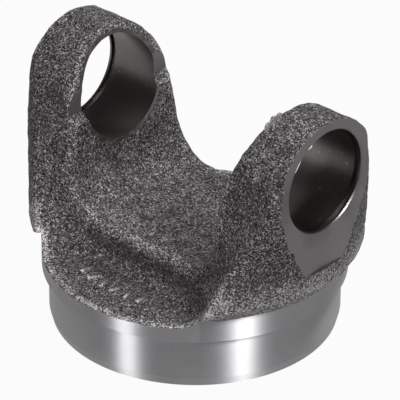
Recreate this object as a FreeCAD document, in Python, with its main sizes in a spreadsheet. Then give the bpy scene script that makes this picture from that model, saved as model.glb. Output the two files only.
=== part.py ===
import FreeCAD, Part

import math
import os

import Sketcher
from FreeCAD import Rotation, Vector

# A weld yoke: one steel forging, turned, faced and bored. The pilot end is pressed
# into a drive shaft tube and welded, and the two ears hold a universal joint's cross.
# The frame has its origin at the centre of the pilot's end, Z up through the yoke and
# X along the cross bore. All sizes are in millimetres and degrees.

SIZES = (
    # turned end that enters the tube
    ("pilot_radius", 42.34),
    ("pilot_lead", 0.64),
    ("pilot_lead_height", 2.7),
    ("pilot_height", 15.95),
    ("shoulder_radius", 44.29),
    ("shelf_height", 20.4),
    ("shelf_draft", 5.0),
    # forged recess in the tube side
    ("recess_mouth_radius", 33.5),
    ("recess_depth", 11.0),
    ("recess_draft", 12.0),
    ("recess_corner", 5.0),
    # forged bridge between the ears
    ("saddle_height", 31.4),
    ("saddle_corner", 12.0),
    ("bridge_half_width", 23.75),
    ("bridge_corner_radius", 8.0),
    ("bridge_corner_reach", 26.35),
    # forged flare of each ear's foot
    ("flare_reach", 40.9),
    ("flare_half_width", 40.3),
    ("flare_top_reach", 64.0),
    # run of the walls into the shelf
    ("foot_height", 26.4),
    ("foot_wall_run", 2.45),
    ("foot_corner_run", 6.35),
    ("foot_flare_run", 12.8),
    # forged ears
    ("ear_foot_half_span", 27.0),
    ("ear_knee_half_span", 27.9),
    ("ear_knee_height", 58.5),
    ("ear_knee_round", 30.0),
    ("ear_lean", 18.0),
    ("lug_radius", 20.1),
    ("lug_height", 59.6),
    ("lug_blend", 2.4),
    ("corner_run_out", 2.4),
    # forged flats on the outer corners of the ears
    ("flat_end_reach", 92.8),
    ("flat_side_reach", 56.0),
    ("flat_draft", 6.7),
    # forged outer skin of the ears
    ("skin_foot_height", 23.2),
    ("skin_heel_radius", 48.45),
    ("skin_heel_height", 25.6),
    ("skin_heel_round", 2.5),
    ("skin_knee_radius", 49.1),
    ("skin_knee_height", 34.0),
    ("skin_knee_round", 30.0),
    ("skin_top_stock", 3.72),
    ("skin_top_height", 56.5),
    ("skin_top_round", 25.0),
    # faced sides and cross bore
    ("face_half_span", 48.58),
    ("face_foot_height", 33.65),
    ("bore_radius", 15.09),
    ("bore_height", 61.54),
    ("bore_chamfer", 0.35),
    ("ring_seat_inset", 2.54),
    ("ring_groove_width", 1.55),
    ("ring_groove_depth", 0.95),
    # milled relief inside each ear
    ("relief_cut", 2.7),
    ("relief_floor_height", 59.06),
    ("relief_floor_slope", 49.0),
    ("relief_run_out", 7.0),
)

# reach of the cutting tools past the forging
CLEAR = 30.0
# stock that the first cuts take off the block
STOCK = 3.0
# reach of the chamfering tool past the edge that it cuts
NOSE = 0.5


class Size:
    """A length that carries its value and the sheet formula that gives it."""

    def __init__(self, value, formula):
        self.value = float(value)
        self.formula = formula

    @staticmethod
    def of(other):
        """Take a plain number or a Size as a Size."""
        if isinstance(other, Size):
            return other
        return Size(other, f"({other})" if other < 0 else f"{other}")

    def __add__(self, other):
        other = Size.of(other)
        return Size(self.value + other.value, f"({self.formula} + {other.formula})")

    def __sub__(self, other):
        other = Size.of(other)
        return Size(self.value - other.value, f"({self.formula} - {other.formula})")

    def __mul__(self, other):
        other = Size.of(other)
        return Size(self.value * other.value, f"({self.formula} * {other.formula})")

    def __neg__(self):
        return Size(-self.value, f"(-1 * {self.formula})")

    def tan(self):
        """Tangent of an angle given in degrees."""
        return Size(math.tan(math.radians(self.value)), f"tan({self.formula} * 1deg)")


def make_sheet(doc):
    """Write the driving dimensions to the spreadsheet and give them back by name."""
    sheet = doc.addObject("Spreadsheet::Sheet", "Sizes")
    sizes = {}
    for row, (name, value) in enumerate(SIZES, start=1):
        sheet.set(f"A{row}", name)
        sheet.set(f"B{row}", str(value))
        sheet.setAlias(f"B{row}", name)
        sizes[name] = Size(value, f"Sizes.{name}")
    doc.recompute()
    return sizes


def origin_feature(body, role):
    """Find one of the body's own origin planes or axes."""
    return next(item for item in body.Origin.OriginFeatures if item.Role == role)


def pin(sketch, geometry, end, x, y):
    """Hold one point of the sketch at its place from the sketch origin."""
    for kind, size in (("DistanceX", x), ("DistanceY", y)):
        size = Size.of(size)
        number = sketch.addConstraint(
            Sketcher.Constraint(kind, -1, 1, geometry, end, size.value))
        if "Sizes." in size.formula:
            sketch.setExpression(f"Constraints[{number}]", size.formula)


class Corner:
    """A corner of a profile: its place and the radius that rounds it, if any."""

    def __init__(self, x, y, radius=None):
        self.x = Size.of(x)
        self.y = Size.of(y)
        self.radius = None if radius is None else Size.of(radius)
        self.place = Vector(self.x.value, self.y.value, 0)


def rounded_ends(before, corner, after):
    """Tangent points, centre and turn direction of the arc that rounds a corner."""
    inward = (before.place - corner.place).normalize()
    outward = (after.place - corner.place).normalize()
    half_angle = inward.getAngle(outward) / 2
    run = corner.radius.value / math.tan(half_angle)
    bisector = (inward + outward).normalize()
    centre = corner.place + bisector * (corner.radius.value / math.sin(half_angle))
    turns_left = inward.cross(outward).z < 0
    return corner.place + inward * run, corner.place + outward * run, centre, turns_left


def add_arc(sketch, start, end, centre, radius, turns_left):
    """Draw the arc from start to end and say which of its ends is which."""
    first, last = (start, end) if turns_left else (end, start)
    first_angle = math.atan2(first.y - centre.y, first.x - centre.x)
    last_angle = math.atan2(last.y - centre.y, last.x - centre.x)
    circle = Part.Circle(centre, Vector(0, 0, 1), radius)
    arc = sketch.addGeometry(Part.ArcOfCircle(circle, first_angle, last_angle), False)
    return (arc, 1, 2) if turns_left else (arc, 2, 1)


def draw_profile(sketch, corners):
    """Draw a closed profile of lines, with an arc at each corner that has a radius."""
    count = len(corners)
    joints = []
    for index, corner in enumerate(corners):
        if corner.radius is None:
            joints.append((corner.place, corner.place, None, None))
            continue
        joints.append(rounded_ends(corners[index - 1], corner, corners[(index + 1) % count]))
    lines = []
    for index in range(count):
        line = Part.LineSegment(joints[index][1], joints[(index + 1) % count][0])
        lines.append(sketch.addGeometry(line, False))
    for index, corner in enumerate(corners):
        line_in = lines[index - 1]
        line_out = lines[index]
        if corner.radius is None:
            sketch.addConstraint(Sketcher.Constraint("Coincident", line_in, 2, line_out, 1))
            pin(sketch, line_out, 1, corner.x, corner.y)
            continue
        start, end, centre, turns_left = joints[index]
        arc, arc_in, arc_out = add_arc(sketch, start, end, centre, corner.radius.value, turns_left)
        mark = sketch.addGeometry(Part.Point(corner.place), True)
        sketch.addConstraint(Sketcher.Constraint("Tangent", line_in, 2, arc, arc_in))
        sketch.addConstraint(Sketcher.Constraint("Tangent", line_out, 1, arc, arc_out))
        sketch.addConstraint(Sketcher.Constraint("PointOnObject", mark, 1, line_in))
        sketch.addConstraint(Sketcher.Constraint("PointOnObject", mark, 1, line_out))
        pin(sketch, mark, 1, corner.x, corner.y)
        number = sketch.addConstraint(
            Sketcher.Constraint("Radius", arc, corner.radius.value))
        if "Sizes." in corner.radius.formula:
            sketch.setExpression(f"Constraints[{number}]", corner.radius.formula)


def add_sketch(body, name, role, corners=(), height=None):
    """Add a sketch on one of the body's planes, at a height above it where given."""
    sketch = body.newObject("Sketcher::SketchObject", name)
    sketch.AttachmentSupport = [(origin_feature(body, role), "")]
    sketch.MapMode = "FlatFace"
    if height is not None:
        sketch.AttachmentOffset = FreeCAD.Placement(Vector(0, 0, height.value), Rotation())
        sketch.setExpression("AttachmentOffset.Base.z", height.formula)
    if corners:
        draw_profile(sketch, corners)
    return sketch


def finish(body, feature, removes=None):
    """Make the feature the tip, recompute and check that it did its work."""
    before = body.Shape.Volume if not body.Shape.isNull() else 0.0
    body.Tip = feature
    body.Document.recompute()
    if not feature.Shape.isValid():
        raise RuntimeError(f"{feature.Label} is not valid")
    change = feature.Shape.Volume - before
    if removes is True and change > -1e-3:
        raise RuntimeError(f"{feature.Label} cuts nothing")
    if removes is False and change < 1e-3:
        raise RuntimeError(f"{feature.Label} adds nothing")
    print(f"{feature.Label}: {change / 1000:+.3f} cm3")
    return feature


def revolve(body, kind, name, sketch, axis, removes):
    """Turn a sketch all the way round an axis, to add or to cut."""
    feature = body.newObject(kind, name)
    feature.Profile = sketch
    feature.ReferenceAxis = axis
    feature.Angle = 360.0
    return finish(body, feature, removes)


def mirror(body, name, original, role):
    """Repeat a feature on the other side of one of the body's planes."""
    feature = body.newObject("PartDesign::Mirrored", name)
    feature.Originals = [original]
    feature.MirrorPlane = (origin_feature(body, role), [""])
    return finish(body, feature)


def cut_through(body, name, sketch):
    """Cut a profile through the whole body, both ways from its plane."""
    feature = body.newObject("PartDesign::Pocket", name)
    feature.Profile = sketch
    feature.Type = "ThroughAll"
    feature.Midplane = True
    return finish(body, feature, removes=True)


def skin_top_radius(sizes):
    """Radius of the skin at the lugs, which leaves stock for facing their sides."""
    return sizes["face_half_span"] + sizes["skin_top_stock"]


def lug_half_width(sizes):
    """Half width of a lug where its round top takes over from the flanks."""
    radius = sizes["lug_radius"]
    blend = sizes["lug_blend"]
    value = math.sqrt(radius.value ** 2 - blend.value ** 2)
    return Size(value, f"sqrt({radius.formula} ^ 2 - {blend.formula} ^ 2)")


def add_hub(body, sizes):
    """Disc: turned pilot with its lead, tube shoulder and the forged, drafted shelf."""
    crown = sizes["shelf_height"] + sizes["shoulder_radius"] * sizes["shelf_draft"].tan()
    corners = [
        Corner(0, 0),
        Corner(sizes["pilot_radius"] - sizes["pilot_lead"], 0),
        Corner(sizes["pilot_radius"], sizes["pilot_lead_height"]),
        Corner(sizes["pilot_radius"], sizes["pilot_height"]),
        Corner(sizes["shoulder_radius"], sizes["pilot_height"]),
        Corner(sizes["shoulder_radius"], sizes["shelf_height"]),
        Corner(0, crown),
    ]
    sketch = add_sketch(body, "HubProfile", "XZ_Plane", corners)
    return revolve(body, "PartDesign::Revolution", "Hub", sketch, (sketch, ["V_Axis"]), False)


def add_yoke_block(body, sizes):
    """Forging stock of the ears and the bridge, with the gap between the ears."""
    out = skin_top_radius(sizes) + STOCK
    top = sizes["lug_height"] + sizes["lug_radius"] + STOCK
    lean = (top - sizes["ear_knee_height"]) * sizes["ear_lean"].tan()
    lean_top = sizes["ear_knee_half_span"] + lean
    corners = [
        Corner(-out, sizes["pilot_height"]),
        Corner(out, sizes["pilot_height"]),
        Corner(out, top),
        Corner(lean_top, top),
        Corner(sizes["ear_knee_half_span"], sizes["ear_knee_height"], sizes["ear_knee_round"]),
        Corner(sizes["ear_foot_half_span"], sizes["saddle_height"], sizes["saddle_corner"]),
        Corner(-sizes["ear_foot_half_span"], sizes["saddle_height"], sizes["saddle_corner"]),
        Corner(-sizes["ear_knee_half_span"], sizes["ear_knee_height"], sizes["ear_knee_round"]),
        Corner(-lean_top, top),
        Corner(-out, top),
    ]
    sketch = add_sketch(body, "YokeSection", "XZ_Plane", corners)
    feature = body.newObject("PartDesign::Pad", "YokeBlock")
    feature.Profile = sketch
    feature.Midplane = True
    width = (sizes["flare_half_width"] + STOCK) * 2
    feature.Length = width.value
    feature.setExpression("Length", width.formula)
    return finish(body, feature, removes=False)


def cut_skin(body, sizes):
    """Forged outer skin: a bowed surface round the yoke's axis, turned off at its foot."""
    out = skin_top_radius(sizes) + CLEAR
    top = sizes["lug_height"] + sizes["lug_radius"] + CLEAR
    corners = [
        Corner(sizes["shoulder_radius"], sizes["pilot_height"]),
        Corner(out, sizes["pilot_height"]),
        Corner(out, top),
        Corner(skin_top_radius(sizes), top),
        Corner(skin_top_radius(sizes), sizes["skin_top_height"], sizes["skin_top_round"]),
        Corner(sizes["skin_knee_radius"], sizes["skin_knee_height"], sizes["skin_knee_round"]),
        Corner(sizes["skin_heel_radius"], sizes["skin_heel_height"], sizes["skin_heel_round"]),
        Corner(sizes["shoulder_radius"], sizes["skin_foot_height"]),
    ]
    sketch = add_sketch(body, "SkinProfile", "XZ_Plane", corners)
    return revolve(body, "PartDesign::Groove", "Skin", sketch, (sketch, ["V_Axis"]), True)


def flank_section(corner_reach, half_width, flare_reach, sizes):
    """Outline of one side's scoop: bridge wall, rounded corners and the ears' flares."""
    flare_half_width = sizes["flare_half_width"]
    far = flare_half_width + CLEAR
    corner_round = sizes["bridge_corner_radius"]
    return [
        Corner(-flare_reach, -flare_half_width),
        Corner(-corner_reach, -half_width, corner_round),
        Corner(corner_reach, -half_width, corner_round),
        Corner(flare_reach, -flare_half_width),
        Corner(flare_reach, -far),
        Corner(-flare_reach, -far),
    ]


def cut_flanks(body, sizes):
    """Scoop the front and back: a bridge wall that flares into the ears' feet."""
    corner_reach = sizes["bridge_corner_reach"]
    half_width = sizes["bridge_half_width"]
    flare_reach = sizes["flare_reach"]
    foot = flank_section(
        corner_reach - sizes["foot_corner_run"],
        half_width + sizes["foot_wall_run"],
        flare_reach - sizes["foot_flare_run"],
        sizes)
    wall = flank_section(corner_reach, half_width, flare_reach, sizes)
    far = sizes["flare_half_width"] + CLEAR
    lug_side = lug_half_width(sizes)
    top_reach = sizes["flare_top_reach"]
    inner = sizes["ear_knee_half_span"] - sizes["corner_run_out"]
    outer = sizes["ear_knee_half_span"] + sizes["corner_run_out"]
    lug = [
        Corner(-top_reach, -lug_side),
        Corner(-outer, -lug_side),
        Corner(-inner, -lug_side),
        Corner(inner, -lug_side),
        Corner(outer, -lug_side),
        Corner(top_reach, -lug_side),
        Corner(top_reach, -far),
        Corner(-top_reach, -far),
    ]
    lug_start = sizes["lug_height"] + sizes["lug_blend"]
    foot_sketch = add_sketch(body, "FlankFoot", "XY_Plane", foot, sizes["shelf_height"])
    wall_sketch = add_sketch(body, "FlankWall", "XY_Plane", wall, sizes["foot_height"])
    lug_sketch = add_sketch(body, "FlankLug", "XY_Plane", lug, lug_start)
    feature = body.newObject("PartDesign::SubtractiveLoft", "FrontFlank")
    feature.Profile = foot_sketch
    feature.Sections = [wall_sketch, lug_sketch]
    feature.Ruled = True
    feature.Closed = False
    finish(body, feature, removes=True)
    return mirror(body, "BackFlank", feature, "XZ_Plane")


def cut_corner_flats(body, sizes):
    """Cut the drafted flats that the forging has on the outer corners of its ears."""
    end = sizes["flat_end_reach"]
    side = sizes["flat_side_reach"]
    far = side + CLEAR
    corners = [
        Corner(-end, 0),
        Corner(0, -side),
        Corner(end, 0),
        Corner(end, -far),
        Corner(-end, -far),
    ]
    sketch = add_sketch(body, "CornerFlats", "XY_Plane", corners)
    feature = body.newObject("PartDesign::Pocket", "FrontCornerFlats")
    feature.Profile = sketch
    feature.Reversed = True
    height = sizes["lug_height"] + sizes["lug_radius"] + CLEAR
    feature.Length = height.value
    feature.setExpression("Length", height.formula)
    draft = sizes["flat_draft"]
    feature.TaperAngle = draft.value
    feature.setExpression("TaperAngle", f"{draft.formula} * 1deg")
    finish(body, feature, removes=True)
    return mirror(body, "BackCornerFlats", feature, "XZ_Plane")


def cut_lug_tops(body, sizes):
    """Round the ears' tops about the lug centre, above where the flanks end."""
    height = sizes["lug_height"] + sizes["lug_blend"]
    out = sizes["flare_half_width"] + CLEAR
    top = sizes["lug_height"] + sizes["lug_radius"] + CLEAR
    sketch = add_sketch(body, "LugProfile", "YZ_Plane")
    outline = [(-out, height), (-out, top), (out, top), (out, height)]
    places = [Vector(x.value, y.value, 0) for x, y in outline]
    half_width = lug_half_width(sizes).value
    start = Vector(-half_width, height.value, 0)
    end = Vector(half_width, height.value, 0)
    centre = Vector(0, sizes["lug_height"].value, 0)
    chain = [start] + places + [end]
    lines = []
    for first, last in zip(chain, chain[1:]):
        lines.append(sketch.addGeometry(Part.LineSegment(first, last), False))
    for first, last in zip(lines, lines[1:]):
        sketch.addConstraint(Sketcher.Constraint("Coincident", first, 2, last, 1))
    for line, (x, y) in zip(lines[1:], outline):
        pin(sketch, line, 1, x, y)
    arc, arc_in, arc_out = add_arc(sketch, end, start, centre, sizes["lug_radius"].value, True)
    sketch.addConstraint(Sketcher.Constraint("Coincident", arc, arc_in, lines[-1], 2))
    sketch.addConstraint(Sketcher.Constraint("Coincident", arc, arc_out, lines[0], 1))
    sketch.addConstraint(Sketcher.Constraint("Horizontal", lines[0]))
    sketch.addConstraint(Sketcher.Constraint("Horizontal", lines[-1]))
    pin(sketch, arc, 3, 0, sizes["lug_height"])
    number = sketch.addConstraint(Sketcher.Constraint("Radius", arc, sizes["lug_radius"].value))
    sketch.setExpression(f"Constraints[{number}]", sizes["lug_radius"].formula)
    return cut_through(body, "LugTops", sketch)


def cut_recess(body, sizes):
    """Forged recess that lightens the disc on the tube side."""
    depth = sizes["recess_depth"]
    floor_radius = sizes["recess_mouth_radius"] - depth * sizes["recess_draft"].tan()
    corners = [
        Corner(0, 0),
        Corner(sizes["recess_mouth_radius"], 0),
        Corner(floor_radius, depth, sizes["recess_corner"]),
        Corner(0, depth),
    ]
    sketch = add_sketch(body, "RecessProfile", "XZ_Plane", corners)
    return revolve(body, "PartDesign::Groove", "Recess", sketch, (sketch, ["V_Axis"]), True)


def cut_faces(body, sizes):
    """Face the outer sides of the two lugs, down to a ledge above the disc."""
    out = skin_top_radius(sizes) + CLEAR
    top = sizes["lug_height"] + sizes["lug_radius"] + CLEAR
    corners = [
        Corner(sizes["face_half_span"], sizes["face_foot_height"]),
        Corner(out, sizes["face_foot_height"]),
        Corner(out, top),
        Corner(sizes["face_half_span"], top),
    ]
    sketch = add_sketch(body, "FaceProfile", "XZ_Plane", corners)
    right = cut_through(body, "RightFace", sketch)
    return mirror(body, "LeftFace", right, "YZ_Plane")


def cut_reliefs(body, sizes):
    """Mill the inner side of each lug flat, with a floor that falls into the gap."""
    inner = sizes["ear_foot_half_span"] - sizes["relief_run_out"]
    outer = sizes["ear_knee_half_span"] + sizes["relief_cut"]
    floor_end = sizes["relief_floor_height"] - (outer - inner) * sizes["relief_floor_slope"].tan()
    top = sizes["lug_height"] + sizes["lug_radius"] + CLEAR
    corners = [
        Corner(inner, floor_end),
        Corner(outer, sizes["relief_floor_height"]),
        Corner(outer, top),
        Corner(inner, top),
    ]
    sketch = add_sketch(body, "ReliefProfile", "XZ_Plane", corners)
    right = cut_through(body, "RightRelief", sketch)
    return mirror(body, "LeftRelief", right, "YZ_Plane")


def cut_bore(body, sizes):
    """Bore both lugs in one line for the cross bearings."""
    sketch = add_sketch(body, "BoreCircle", "YZ_Plane")
    centre = Vector(0, sizes["bore_height"].value, 0)
    circle = Part.Circle(centre, Vector(0, 0, 1), sizes["bore_radius"].value)
    ring = sketch.addGeometry(circle, False)
    pin(sketch, ring, 3, 0, sizes["bore_height"])
    number = sketch.addConstraint(Sketcher.Constraint("Radius", ring, sizes["bore_radius"].value))
    sketch.setExpression(f"Constraints[{number}]", sizes["bore_radius"].formula)
    return cut_through(body, "CrossBore", sketch)


def cut_round_bore(body, name, sizes, corners):
    """Turn a cut round the bore's axis in the right lug and repeat it in the left."""
    sketch = add_sketch(body, f"{name}Profile", "XZ_Plane", corners)
    height = sizes["bore_height"]
    start = Vector(0, height.value, 0)
    end = Vector(sizes["face_half_span"].value, height.value, 0)
    axis = sketch.addGeometry(Part.LineSegment(start, end), True)
    pin(sketch, axis, 1, 0, height)
    pin(sketch, axis, 2, sizes["face_half_span"], height)
    right = revolve(body, "PartDesign::Groove", f"Right{name}", sketch, (sketch, ["Axis0"]), True)
    return mirror(body, f"Left{name}", right, "YZ_Plane")


def cut_ring_grooves(body, sizes):
    """Snap-ring groove in each lug, near its outer face."""
    near = sizes["face_half_span"] - sizes["ring_seat_inset"]
    far = near + sizes["ring_groove_width"]
    bore_top = sizes["bore_height"] + sizes["bore_radius"]
    corners = [
        Corner(near, bore_top - sizes["ring_groove_depth"]),
        Corner(far, bore_top - sizes["ring_groove_depth"]),
        Corner(far, bore_top + sizes["ring_groove_depth"]),
        Corner(near, bore_top + sizes["ring_groove_depth"]),
    ]
    return cut_round_bore(body, "RingGroove", sizes, corners)


def cut_bore_chamfers(body, sizes):
    """Small chamfer at the mouth of each bore."""
    face = sizes["face_half_span"]
    leg = sizes["bore_chamfer"]
    bore_top = sizes["bore_height"] + sizes["bore_radius"]
    corners = [
        Corner(face - leg - NOSE, bore_top - NOSE),
        Corner(face + NOSE, bore_top - NOSE),
        Corner(face + NOSE, bore_top + leg + NOSE),
    ]
    return cut_round_bore(body, "BoreChamfer", sizes, corners)


def main():
    os.makedirs("parts", exist_ok=True)
    doc = FreeCAD.newDocument("WeldYoke")
    sizes = make_sheet(doc)
    body = doc.addObject("PartDesign::Body", "WeldYoke")
    body.Label = "weld_yoke"
    add_yoke_block(body, sizes)
    cut_skin(body, sizes)
    cut_flanks(body, sizes)
    cut_corner_flats(body, sizes)
    cut_lug_tops(body, sizes)
    add_hub(body, sizes)
    cut_recess(body, sizes)
    cut_faces(body, sizes)
    cut_reliefs(body, sizes)
    cut_bore(body, sizes)
    cut_ring_grooves(body, sizes)
    cut_bore_chamfers(body, sizes)
    doc.recompute()
    for item in doc.Objects:
        if "Invalid" in item.State or "Error" in item.State:
            raise RuntimeError(f"{item.Label} failed: {item.State}")
    shape = body.Shape
    if shape.isNull() or not shape.isValid() or len(shape.Solids) != 1:
        raise RuntimeError("the yoke is not one valid solid")
    shape.exportStep(f"parts/{body.Label}.step")
    box = shape.optimalBoundingBox(False, False)
    volume = shape.Volume / 1000
    print(f"size {box.XLength:.1f} x {box.YLength:.1f} x {box.ZLength:.1f} mm, {volume:.1f} cm3")


main()
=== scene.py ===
"""Looks of the forged weld yoke: blasted skin, turned, faced and bored steel, and a plain studio."""

import logging
import math
from dataclasses import dataclass
from enum import IntEnum
from typing import Callable, Optional, Sequence

import bmesh
import bpy
import numpy as np
from mathutils import Euler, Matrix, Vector

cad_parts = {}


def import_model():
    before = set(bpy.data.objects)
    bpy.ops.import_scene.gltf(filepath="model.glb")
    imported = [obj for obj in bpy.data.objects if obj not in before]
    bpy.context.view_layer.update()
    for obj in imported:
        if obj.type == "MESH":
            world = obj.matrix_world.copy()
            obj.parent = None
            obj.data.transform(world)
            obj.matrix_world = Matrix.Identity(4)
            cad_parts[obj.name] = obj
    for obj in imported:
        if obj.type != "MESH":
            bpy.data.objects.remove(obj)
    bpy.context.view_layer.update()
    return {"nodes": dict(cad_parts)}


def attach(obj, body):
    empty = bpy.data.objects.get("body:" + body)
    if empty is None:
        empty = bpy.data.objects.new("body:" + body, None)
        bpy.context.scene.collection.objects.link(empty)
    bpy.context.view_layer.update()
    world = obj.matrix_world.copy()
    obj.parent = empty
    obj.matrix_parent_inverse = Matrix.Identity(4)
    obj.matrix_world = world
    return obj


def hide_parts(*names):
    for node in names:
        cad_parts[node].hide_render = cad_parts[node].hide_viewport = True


LOG = logging.getLogger("weld_yoke")

# the yoke's sizes are in millimetres, and the scene is in metres
MILLIMETRE = 0.001
# height in metres of the point that the lamps face
LAMP_AIM = 0.035
NODE = "weld_yoke"
BODY = "root"
SOFT_ENDS = {"interpolation_type": "SMOOTHSTEP"}
Pair = tuple[float, float]
Triple = tuple[float, float, float]
Colour = tuple[float, float, float, float]
Piece = bpy.types.Object
Array = np.ndarray


class Surface(IntEnum):
    """How each surface of the yoke was made, in the order of its material slots."""

    FORGED = 0
    TURNED = 1
    FACED = 2
    BORED = 3


def round_over(first: Array, second: Array, radius: float) -> Array:
    """Cross two distance fields, with a rounded outer edge.

    Args:
        first: Distance to the first form, below zero inside it.
        second: Distance to the second form.
        radius: Radius of the edge where the two surfaces meet.

    Returns:
        Distance to what lies in both forms.
    """
    both = np.hypot(np.maximum(first + radius, 0.0), np.maximum(second + radius, 0.0))
    return np.minimum(-radius, np.maximum(first, second)) + both


def fillet_in(first: Array, second: Array, radius: float) -> Array:
    """Join two distance fields, with a filleted inner corner.

    Args:
        first: Distance to the first form, below zero inside it.
        second: Distance to the second form.
        radius: Radius of the corner where the two surfaces meet.

    Returns:
        Distance to what lies in either form.
    """
    both = np.hypot(np.maximum(radius - first, 0.0), np.maximum(radius - second, 0.0))
    return np.maximum(radius, np.minimum(first, second)) - both


def soft_ramp(value: Array, width: float) -> Array:
    """A ramp that is zero below zero, rises one for one above it, and bends over a width."""
    return 0.5 * (value + np.sqrt(value * value + width * width))


def smooth_share(value: Array, low: float, high: float) -> Array:
    """Zero below low, one above high, with soft ends between."""
    share = np.clip((value - low) / (high - low), 0.0, 1.0)
    return share * share * (3.0 - 2.0 * share)


@dataclass(frozen=True)
class ForgingForm:
    """The raw forging before machining, as a distance field in millimetres."""

    shelf_radius: float = 44.29
    shelf_height: float = 20.4
    shelf_rise: float = 0.0875
    recess_radius: float = 33.5
    recess_depth: float = 11.0
    recess_draft: float = 0.2126
    recess_corner: float = 5.0
    saddle_height: float = 31.4
    saddle_corner: float = 12.0
    gap_half_span: float = 27.0
    gap_draft: float = 0.0332
    gap_knee_height: float = 58.5
    gap_knee_bend: float = 5.0
    ear_lean: float = 0.325
    lug_radius: float = 20.1
    lug_height: float = 59.6
    flank_foot: float = 26.4
    flank_top: float = 62.0
    foot_corner: Pair = (26.35, 23.75)
    foot_reach: Pair = (40.9, 40.3)
    top_corner: Pair = (27.9, 19.96)
    top_reach: Pair = (64.0, 19.96)
    flank_bend: float = 4.0
    flank_run_out: float = -0.3
    lug_blend: float = 5.0
    flat_normal: Triple = (0.5131, 0.8503, 0.1167)
    flat_distance: float = 47.62
    skin_heel: Pair = (48.45, 25.6)
    skin_knee: Pair = (49.1, 34.0)
    skin_top: Pair = (52.3, 56.5)
    skin_knee_bend: float = 5.0
    skin_top_bend: float = 6.0
    skin_cosine: float = 0.99
    heel_height: float = 23.2
    heel_slope: float = 0.577
    heel_cosine: float = 0.866
    heel_round: float = 2.5
    turning_stock: float = 0.25
    facing_stock: float = 2.0
    crest_round: float = 1.7
    flat_round: float = 0.8
    rim_round: float = 0.6
    wall_foot_round: float = 4.0
    near_foot_round: float = 5.0
    far_foot_round: float = 8.5
    foot_span: Pair = (10.0, 27.0)
    half_probe: float = 0.5

    def skin_radius(self, z: Array) -> Array:
        """Radius of the bowed outer skin at each height.

        Args:
            z: Heights above the tube end.

        Returns:
            The skin's radius.
        """
        lower = (self.skin_knee[0] - self.skin_heel[0]) / (self.skin_knee[1] - self.skin_heel[1])
        upper = (self.skin_top[0] - self.skin_knee[0]) / (self.skin_top[1] - self.skin_knee[1])
        radius = self.skin_heel[0] + lower * (z - self.skin_heel[1])
        radius = radius + (upper - lower) * soft_ramp(z - self.skin_knee[1], self.skin_knee_bend)
        return radius - upper * soft_ramp(z - self.skin_top[1], self.skin_top_bend)

    def skin(self, radius: Array, z: Array) -> Array:
        """Distance to the outer skin, with the heel that overhangs the turned disc.

        Args:
            radius: Distances from the yoke's axis.
            z: Heights above the tube end.

        Returns:
            Distance, below zero inside the skin.
        """
        turned = self.shelf_radius + self.turning_stock
        slope = self.heel_height + self.heel_slope * (radius - self.shelf_radius) - z
        heel = np.minimum(radius - turned, slope * self.heel_cosine)
        outer = (radius - self.skin_radius(z)) * self.skin_cosine
        return round_over(outer, heel, self.heel_round)

    def flank_width(self, x: Array, z: Array) -> Array:
        """Half width of the bridge and of the ears' flared feet.

        Args:
            x: Places along the cross bore.
            z: Heights above the tube end.

        Returns:
            The reach of the flank from the middle plane.
        """
        share = (z - self.flank_foot) / (self.flank_top - self.flank_foot)
        share = np.clip(share, self.flank_run_out, 1.0)
        pairs = zip(self.foot_corner + self.foot_reach, self.top_corner + self.top_reach)
        corner_x, corner_y, reach_x, reach_y = [low + share * (high - low) for low, high in pairs]
        slope = (reach_y - corner_y) / (reach_x - corner_x)
        return corner_y + slope * soft_ramp(np.abs(x) - corner_x, self.flank_bend)

    def gap(self, x: Array, z: Array) -> Array:
        """Distance to the open gap between the ears, with its saddle corners.

        Args:
            x: Places along the cross bore.
            z: Heights above the tube end.

        Returns:
            Distance, below zero inside the gap.
        """
        wall = self.gap_half_span + self.gap_draft * (z - self.saddle_height)
        lean = self.ear_lean - self.gap_draft
        wall = wall + lean * soft_ramp(z - self.gap_knee_height, self.gap_knee_bend)
        return round_over(self.saddle_height - z, np.abs(x) - wall, self.saddle_corner)

    def foot_round(self, x: Array) -> Array:
        """Radius at the foot of the walls, which opens up under the ears' flares."""
        flare = np.where(x < 0.0, self.far_foot_round, self.near_foot_round) - self.wall_foot_round
        return self.wall_foot_round + flare * smooth_share(np.abs(x), *self.foot_span)

    def distance(self, x: Array, y: Array, z: Array) -> Array:
        """Distance to the forging's surface.

        Args:
            x: Places along the cross bore.
            y: Places across it.
            z: Heights above the tube end.

        Returns:
            Distance, below zero inside the metal.
        """
        radius = np.hypot(x, y)
        width = self.flank_width(x, z)
        step = self.half_probe
        lean_x = self.flank_width(np.abs(x) + step, z) - self.flank_width(np.abs(x) - step, z)
        lean_z = self.flank_width(x, z + step) - self.flank_width(x, z - step)
        flank = (np.abs(y) - width) / np.sqrt(1.0 + lean_x ** 2 + lean_z ** 2)
        lug = np.hypot(y, z - self.lug_height) - self.lug_radius
        share = np.clip((z - self.flank_top + 0.5 * self.lug_blend) / self.lug_blend, 0.0, 1.0)
        side = flank * (1.0 - share) + lug * share
        yoke = round_over(side, -self.gap(x, z), self.crest_round)
        shelf = z - self.shelf_height - self.shelf_rise * (self.shelf_radius - radius)
        body = fillet_in(yoke, shelf, self.foot_round(x))
        out, across, up = self.flat_normal
        flat = out * np.abs(x) + across * np.abs(y) + up * z
        body = round_over(body, flat - self.flat_distance, self.flat_round)
        body = round_over(body, self.skin(radius, z), self.rim_round)
        body = np.maximum(body, -self.facing_stock - z)
        recess_wall = radius - (self.recess_radius - self.recess_draft * z)
        recess = round_over(recess_wall, z - self.recess_depth, self.recess_corner)
        return np.maximum(body, -recess)

    def shelter(self, places: Array, normals: Array, reach: float) -> Array:
        """How deep a place lies in an inner corner, or for a reach below zero, how far out on a crest."""
        return np.clip(1.0 - self.distance(*(places + normals * reach).T) / reach, 0.0, 1.0)


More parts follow.
